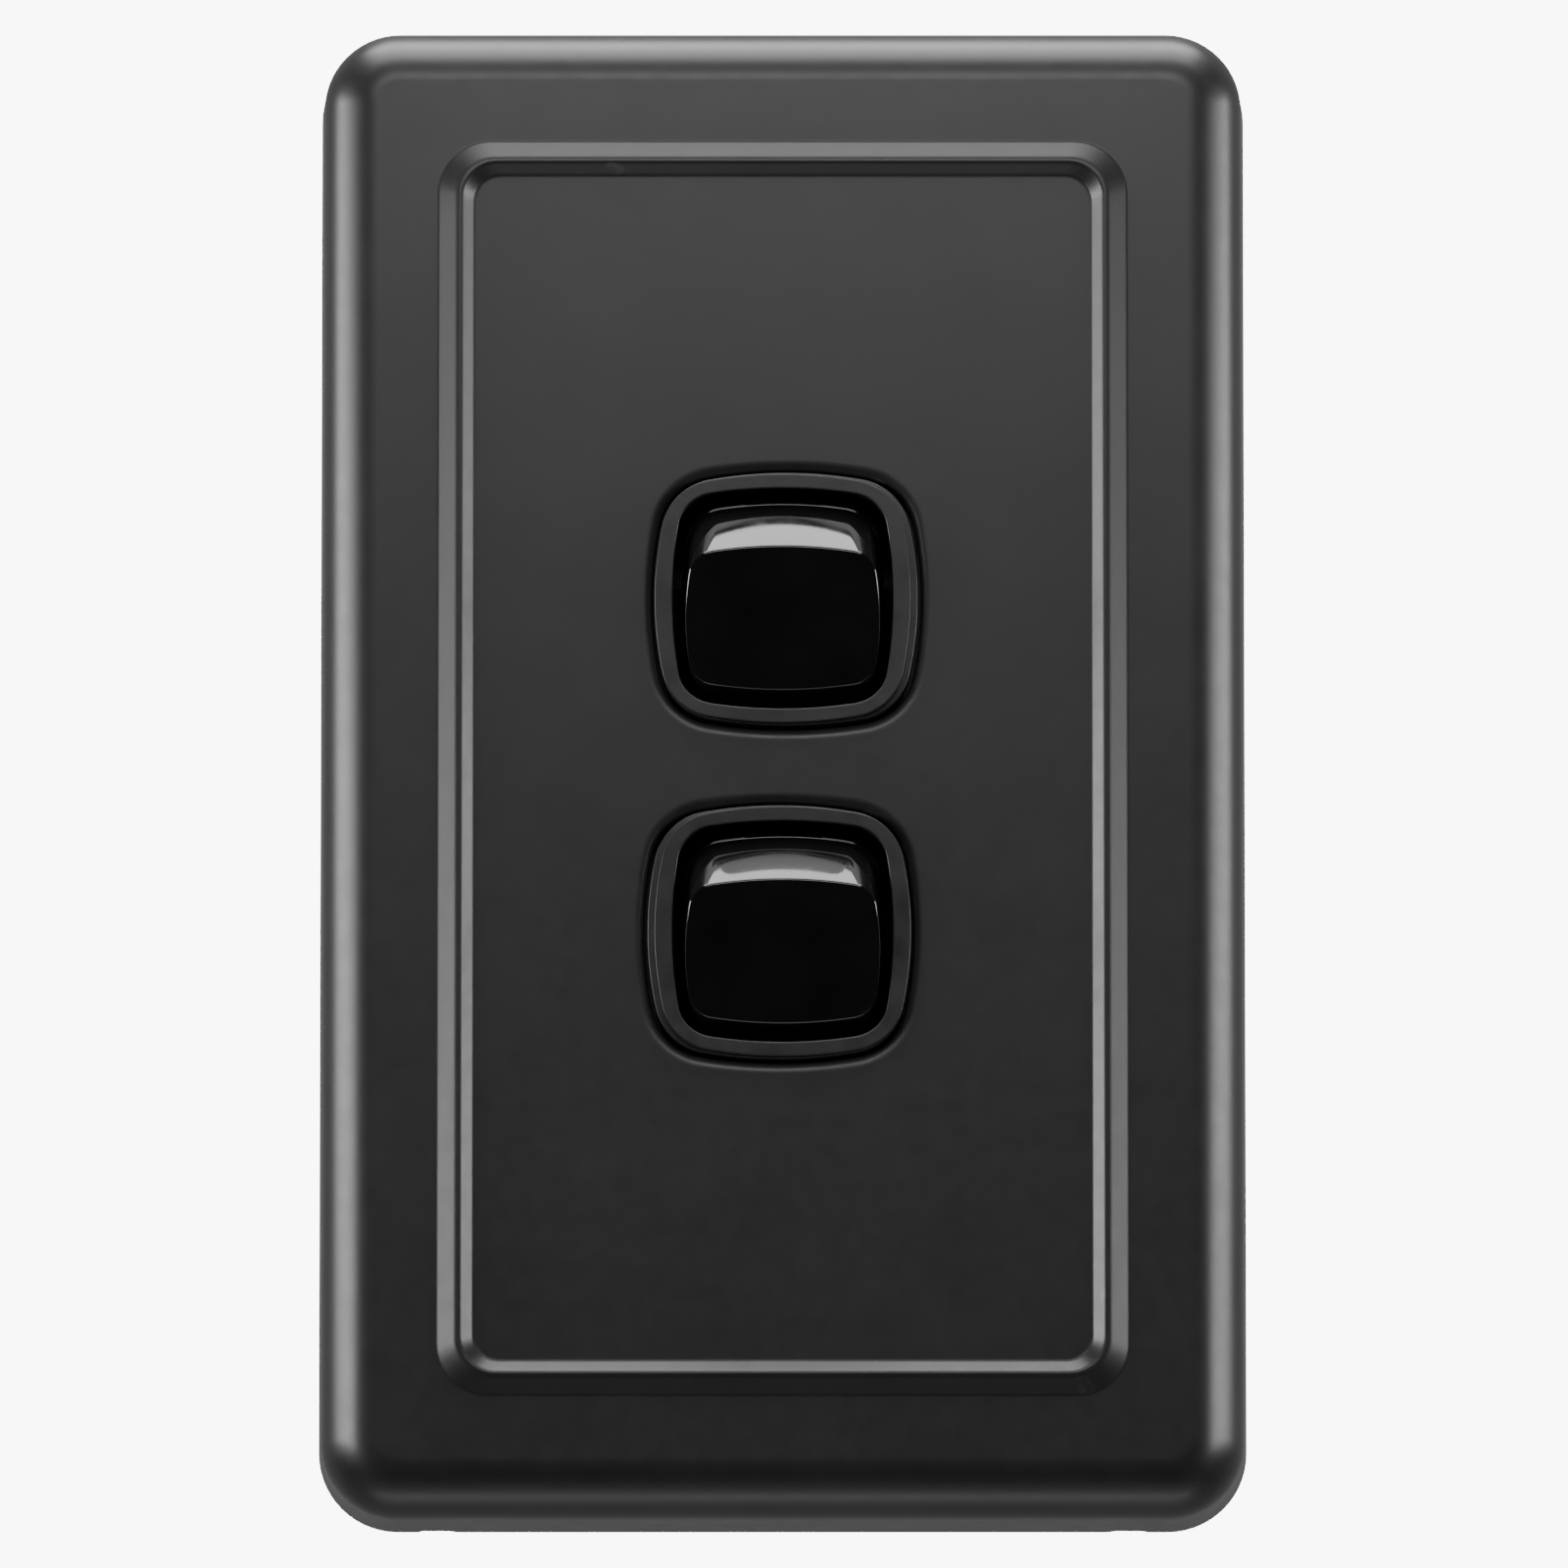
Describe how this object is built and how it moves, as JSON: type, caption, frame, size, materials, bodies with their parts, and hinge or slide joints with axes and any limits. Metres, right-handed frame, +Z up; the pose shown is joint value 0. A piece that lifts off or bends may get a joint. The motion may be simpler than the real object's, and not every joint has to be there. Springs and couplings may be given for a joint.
{
  "type": "rocker wall switch",
  "caption": "Vertical wall switch with tilting rockers in moulded collars, behind a pressed-metal clip-on cover with a raised bead",
  "frame": {"origin": "centre of the plate in the wall plane that its back rim rests on", "axes": "+Z up along the plate's long side, +Y into the wall box, -Y out into the room, +X to the right as seen from the room"},
  "size_m": [0.07, 0.0326, 0.114],
  "materials": {
    "cover_coat": "satin black powder coat with a faint orange peel",
    "collar_plastic": "satin moulded black plastic",
    "rocker_plastic": "glossy black plastic",
    "base_plastic": "matte moulded black plastic",
    "rear_plastic": "matte moulded charcoal plastic",
    "plunger_nylon": "natural nylon",
    "terminal_brass": "plain brass",
    "contact_silver": "bright contact alloy",
    "screw_steel": "zinc-plated steel",
    "spring_steel": "drawn spring wire"
  },
  "bodies": {
    "frame": {"cover_plate": "cover_coat", "grid_plate": "base_plastic", "mounting_screw_upper": "screw_steel", "mounting_screw_lower": "screw_steel", "front_housing_upper": "collar_plastic", "rear_housing_upper": "rear_plastic", "common_terminal_upper": "terminal_brass", "terminal_one_upper": "terminal_brass", "terminal_two_upper": "terminal_brass", "loop_terminal_upper": "terminal_brass", "fixed_contact_one_upper": "contact_silver", "fixed_contact_two_upper": "contact_silver", "terminal_one_screw_upper": "screw_steel", "terminal_two_screw_upper": "screw_steel", "loop_screw_upper": "screw_steel", "common_screw_upper": "screw_steel", "front_housing_lower": "collar_plastic", "rear_housing_lower": "rear_plastic", "common_terminal_lower": "terminal_brass", "terminal_one_lower": "terminal_brass", "terminal_two_lower": "terminal_brass", "loop_terminal_lower": "terminal_brass", "fixed_contact_one_lower": "contact_silver", "fixed_contact_two_lower": "contact_silver", "terminal_one_screw_lower": "screw_steel", "terminal_two_screw_lower": "screw_steel", "loop_screw_lower": "screw_steel", "common_screw_lower": "screw_steel"},
    "rocker_upper": {"rocker_upper": "rocker_plastic", "plunger_spring_upper": "spring_steel"},
    "plunger_upper": {"plunger_upper": "plunger_nylon"},
    "lever_upper": {"moving_contact_upper": "terminal_brass", "moving_tip_one_upper": "contact_silver", "moving_tip_two_upper": "contact_silver"},
    "rocker_lower": {"rocker_lower": "rocker_plastic", "plunger_spring_lower": "spring_steel"},
    "plunger_lower": {"plunger_lower": "plunger_nylon"},
    "lever_lower": {"moving_contact_lower": "terminal_brass", "moving_tip_one_lower": "contact_silver", "moving_tip_two_lower": "contact_silver"}
  },
  "joints": [
    {"name": "rocker_upper_tilt", "type": "hinge", "parent": "frame", "child": "rocker_upper", "pos_m": [0, -0.00346, 0.0127], "axis": [-1, 0, 0], "range_deg": [0, 24]},
    {"name": "lever_upper_tilt", "type": "hinge", "parent": "frame", "child": "lever_upper", "pos_m": [0, 0.006, 0.0127], "axis": [1, 0, 0], "range_deg": [0, 15.6]},
    {"name": "plunger_upper_slide", "type": "slide", "parent": "rocker_upper", "child": "plunger_upper", "axis": [0, -0.9781, -0.2079], "range_m": [0, 0.0008], "stiffness_N_per_m": 500, "springref_m": -0.002, "deforming": ["plunger_spring_upper"]},
    {"name": "rocker_lower_tilt", "type": "hinge", "parent": "frame", "child": "rocker_lower", "pos_m": [0, -0.00346, -0.0127], "axis": [-1, 0, 0], "range_deg": [0, 24]},
    {"name": "lever_lower_tilt", "type": "hinge", "parent": "frame", "child": "lever_lower", "pos_m": [0, 0.006, -0.0127], "axis": [1, 0, 0], "range_deg": [0, 15.6]},
    {"name": "plunger_lower_slide", "type": "slide", "parent": "rocker_lower", "child": "plunger_lower", "axis": [0, -0.9781, -0.2079], "range_m": [0, 0.0008], "stiffness_N_per_m": 500, "springref_m": -0.002, "deforming": ["plunger_spring_lower"]}
  ],
  "couplings": [
    {"joint": "lever_upper_tilt", "follows": "rocker_upper_tilt", "ratio": 0.65},
    {"joint": "lever_lower_tilt", "follows": "rocker_lower_tilt", "ratio": 0.65}
  ]
}
